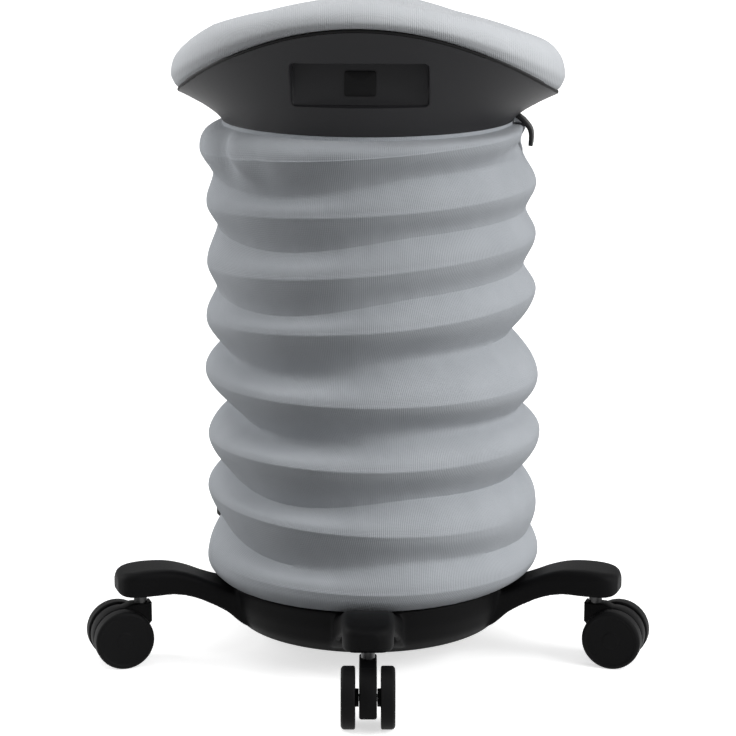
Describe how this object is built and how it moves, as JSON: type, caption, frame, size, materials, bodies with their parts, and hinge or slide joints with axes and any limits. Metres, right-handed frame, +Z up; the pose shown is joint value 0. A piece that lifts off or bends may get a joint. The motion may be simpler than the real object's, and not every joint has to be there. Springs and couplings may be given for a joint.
{
  "type": "wobble stool",
  "caption": "Wobble stool with a saddle-shaped cushion on a dark shell, a sprung tilting seat, a height-adjustable column in a ribbed knit sleeve and a low star base on twin-wheel castors.",
  "frame": {"origin": "middle of the footprint, on the floor", "axes": "+Z up, -Y the side of the seat's high edge and recess, which the camera faces, +X towards the release lever"},
  "size_m": [0.4776, 0.4524, 0.562],
  "materials": {
    "black_nylon": "black glass-filled nylon, fine satin texture",
    "wheel_black": "black nylon wheel, satin",
    "bright_steel": "zinc-plated or ground steel",
    "black_steel": "black powder coat",
    "grey_plastic": "grey moulded plastic",
    "black_rubber": "matt black rubber",
    "shell_plastic": "dark grey moulded shell, satin",
    "label_plastic": "plain blank plate",
    "plywood": "moulded plywood",
    "foam": "moulded foam",
    "grey_knit": "light grey stretch knit"
  },
  "bodies": {
    "base": {"star_base": "black_nylon", "lift_outer_tube": "black_steel", "lift_guide_bush": "grey_plastic"},
    "castor_1": {"castor_1_stem": "bright_steel", "castor_1_body": "black_nylon", "castor_1_axle": "bright_steel"},
    "castor_1_left": {"castor_1_wheel_left": "wheel_black"},
    "castor_1_right": {"castor_1_wheel_right": "wheel_black"},
    "castor_2": {"castor_2_stem": "bright_steel", "castor_2_body": "black_nylon", "castor_2_axle": "bright_steel"},
    "castor_2_left": {"castor_2_wheel_left": "wheel_black"},
    "castor_2_right": {"castor_2_wheel_right": "wheel_black"},
    "castor_3": {"castor_3_stem": "bright_steel", "castor_3_body": "black_nylon", "castor_3_axle": "bright_steel"},
    "castor_3_left": {"castor_3_wheel_left": "wheel_black"},
    "castor_3_right": {"castor_3_wheel_right": "wheel_black"},
    "castor_4": {"castor_4_stem": "bright_steel", "castor_4_body": "black_nylon", "castor_4_axle": "bright_steel"},
    "castor_4_left": {"castor_4_wheel_left": "wheel_black"},
    "castor_4_right": {"castor_4_wheel_right": "wheel_black"},
    "castor_5": {"castor_5_stem": "bright_steel", "castor_5_body": "black_nylon", "castor_5_axle": "bright_steel"},
    "castor_5_left": {"castor_5_wheel_left": "wheel_black"},
    "castor_5_right": {"castor_5_wheel_right": "wheel_black"},
    "column": {"piston_rod": "bright_steel", "piston": "bright_steel", "retaining_clip": "bright_steel", "thrust_bearing": "bright_steel", "damper_ring": "black_rubber", "sleeve_glide_ring": "grey_plastic", "sleeve": "grey_knit"},
    "lift": {"lift_cylinder": "black_steel", "rod_gland": "grey_plastic", "lift_bracket": "black_steel", "bump_ring": "black_rubber"},
    "release": {"release_pin": "bright_steel"},
    "gimbal": {"gimbal_cross": "bright_steel"},
    "seat": {"seat_bracket": "black_steel", "bracket_bolt_1": "bright_steel", "bracket_bolt_2": "bright_steel", "bracket_bolt_3": "bright_steel", "bracket_bolt_4": "bright_steel", "lever_fulcrum_pin": "bright_steel", "seat_pan": "plywood", "seat_shell": "shell_plastic", "shell_screw_1": "bright_steel", "shell_screw_2": "bright_steel", "shell_screw_3": "bright_steel", "shell_screw_4": "bright_steel", "label_plate": "label_plastic", "edge_trim": "black_rubber", "seat_foam": "foam", "seat_cover": "grey_knit", "sleeve_top_ring": "grey_plastic"},
    "lever": {"release_lever": "black_steel"}
  },
  "joints": [
    {"name": "castor_1_swivel", "type": "hinge", "parent": "base", "child": "castor_1", "pos_m": [0, -0.18315, 0.05], "axis": [0, 0, 1], "continuous": true},
    {"name": "castor_1_left_spin", "type": "hinge", "parent": "castor_1", "child": "castor_1_left", "pos_m": [0, -0.20115, 0.025], "axis": [1, 0, 0], "continuous": true},
    {"name": "castor_1_right_spin", "type": "hinge", "parent": "castor_1", "child": "castor_1_right", "pos_m": [0, -0.20115, 0.025], "axis": [1, 0, 0], "continuous": true},
    {"name": "castor_2_swivel", "type": "hinge", "parent": "base", "child": "castor_2", "pos_m": [0.19259, -0.04323, 0.05], "axis": [0, 0, 1], "continuous": true},
    {"name": "castor_2_left_spin", "type": "hinge", "parent": "castor_2", "child": "castor_2_left", "pos_m": [0.20971, -0.04879, 0.025], "axis": [0.309, 0.9511, 0], "continuous": true},
    {"name": "castor_2_right_spin", "type": "hinge", "parent": "castor_2", "child": "castor_2_right", "pos_m": [0.20971, -0.04879, 0.025], "axis": [0.309, 0.9511, 0], "continuous": true},
    {"name": "castor_3_swivel", "type": "hinge", "parent": "base", "child": "castor_3", "pos_m": [0.11903, 0.18318, 0.05], "axis": [0, 0, 1], "continuous": true},
    {"name": "castor_3_left_spin", "type": "hinge", "parent": "castor_3", "child": "castor_3_left", "pos_m": [0.11903, 0.20118, 0.025], "axis": [-1, 0, 0], "continuous": true},
    {"name": "castor_3_right_spin", "type": "hinge", "parent": "castor_3", "child": "castor_3_right", "pos_m": [0.11903, 0.20118, 0.025], "axis": [-1, 0, 0], "continuous": true},
    {"name": "castor_4_swivel", "type": "hinge", "parent": "base", "child": "castor_4", "pos_m": [-0.11903, 0.18318, 0.05], "axis": [0, 0, 1], "continuous": true},
    {"name": "castor_4_left_spin", "type": "hinge", "parent": "castor_4", "child": "castor_4_left", "pos_m": [-0.11903, 0.20118, 0.025], "axis": [-1, 0, 0], "continuous": true},
    {"name": "castor_4_right_spin", "type": "hinge", "parent": "castor_4", "child": "castor_4_right", "pos_m": [-0.11903, 0.20118, 0.025], "axis": [-1, 0, 0], "continuous": true},
    {"name": "castor_5_swivel", "type": "hinge", "parent": "base", "child": "castor_5", "pos_m": [-0.19259, -0.04323, 0.05], "axis": [0, 0, 1], "continuous": true},
    {"name": "castor_5_left_spin", "type": "hinge", "parent": "castor_5", "child": "castor_5_left", "pos_m": [-0.20971, -0.04879, 0.025], "axis": [0.309, -0.9511, 0], "continuous": true},
    {"name": "castor_5_right_spin", "type": "hinge", "parent": "castor_5", "child": "castor_5_right", "pos_m": [-0.20971, -0.04879, 0.025], "axis": [0.309, -0.9511, 0], "continuous": true},
    {"name": "seat_swivel", "type": "hinge", "parent": "base", "child": "column", "pos_m": [0, 0.01935, 0.04], "axis": [0, 0, 1], "continuous": true},
    {"name": "height_slide", "type": "slide", "parent": "column", "child": "lift", "axis": [0, 0, 1], "range_m": [-0.092, 0.033], "deforming": ["sleeve"]},
    {"name": "release_slide", "type": "slide", "parent": "lift", "child": "release", "axis": [0, 0, 1], "range_m": [-0.00325, 0]},
    {"name": "tilt_fore", "type": "hinge", "parent": "lift", "child": "gimbal", "pos_m": [0, 0.01935, 0.466], "axis": [0.9986, -0.0523, 0], "range_deg": [-6, 6], "stiffness_Nm_per_rad": 60},
    {"name": "tilt_side", "type": "hinge", "parent": "gimbal", "child": "seat", "pos_m": [0, 0.01935, 0.466], "axis": [0.0523, 0.9986, 0], "range_deg": [-6, 6], "stiffness_Nm_per_rad": 60},
    {"name": "lever_tip", "type": "hinge", "parent": "seat", "child": "lever", "pos_m": [0.04543, 0.01215, 0.485], "axis": [-0.1564, -0.9877, 0], "range_deg": [0, 4], "stiffness_Nm_per_rad": 0.3, "springref_deg": -5.73}
  ],
  "couplings": [
    {"joint": "release_slide", "follows": "lever_tip", "m_per_rad": -0.046}
  ]
}
